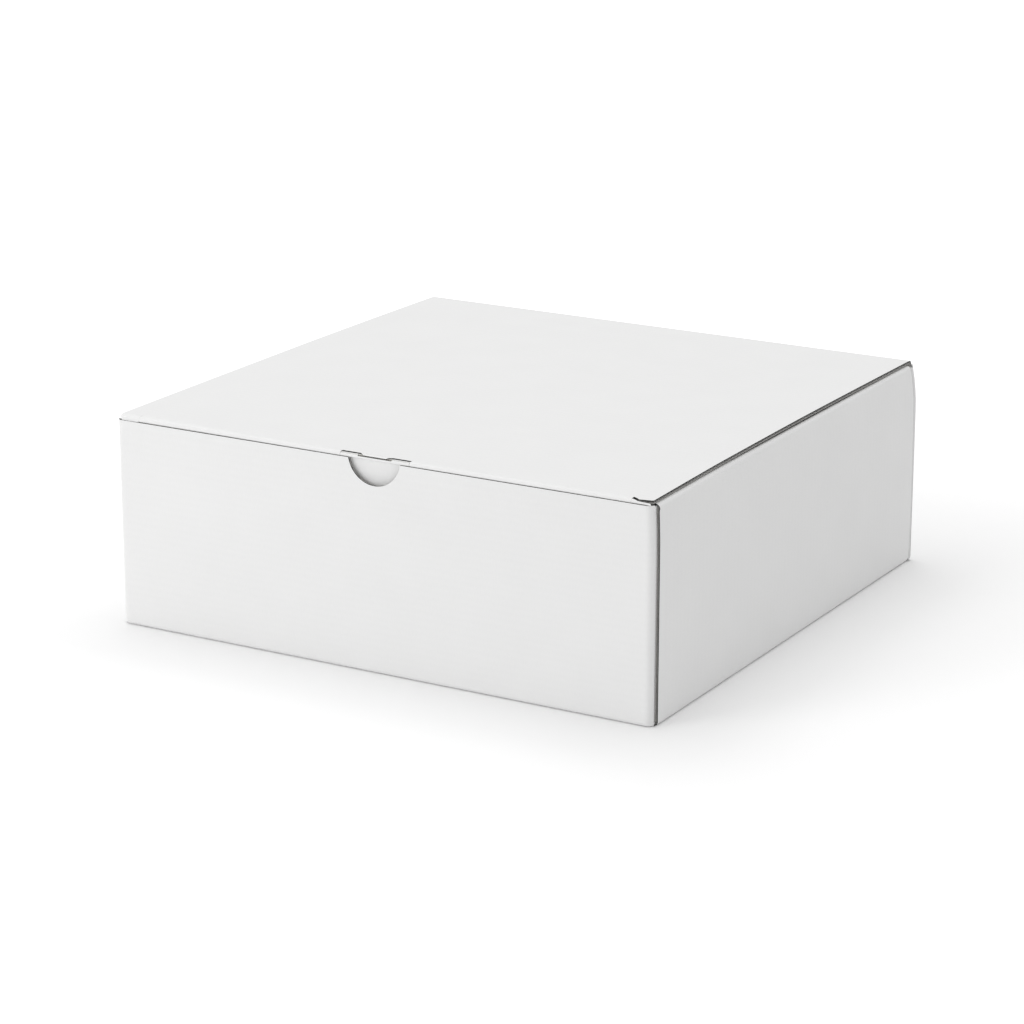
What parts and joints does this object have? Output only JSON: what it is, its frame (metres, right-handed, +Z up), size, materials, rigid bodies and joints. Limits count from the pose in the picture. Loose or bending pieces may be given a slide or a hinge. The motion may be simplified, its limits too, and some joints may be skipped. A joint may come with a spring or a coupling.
{
  "type": "cake box",
  "caption": "Low square cake box folded from one sheet of white corrugated board, with double side walls, a hinged lid, a tuck flap and a thumb notch.",
  "frame": {"origin": "centre of the base's underside, on the surface that the box stands on", "axes": "+Z up; -Y is the front, with the thumb notch and the tuck flap; +Y is the rear, where the lid is hinged; X runs from side wall to side wall"},
  "size_m": [0.2616, 0.256, 0.095],
  "materials": {
    "white_board": "white clay-coated face on fluted board, smooth, with a faint sheen",
    "inner_liner": "uncoated white liner on fluted board, matte"
  },
  "bodies": {
    "carton": {"base": "inner_liner", "front_wall": "white_board", "rear_wall": "white_board", "side_outer_left": "white_board", "side_outer_right": "white_board", "side_rollover_left": "white_board", "side_rollover_right": "white_board", "side_inner_left": "white_board", "side_inner_right": "white_board", "dust_flap_left_front": "white_board", "dust_flap_right_front": "white_board", "dust_flap_left_rear": "white_board", "dust_flap_right_rear": "white_board"},
    "lid": {"lid": "white_board"},
    "tuck_flap": {"tuck_flap": "white_board"}
  },
  "joints": [
    {"name": "lid_hinge", "type": "hinge", "parent": "carton", "child": "lid", "pos_m": [0, 0.128, 0.094], "axis": [-1, 0, 0], "range_deg": [0, 200]},
    {"name": "tuck_flap_hinge", "type": "hinge", "parent": "lid", "child": "tuck_flap", "pos_m": [0, -0.1247, 0.0925], "axis": [1, 0, 0], "range_deg": [-3, 82]}
  ]
}
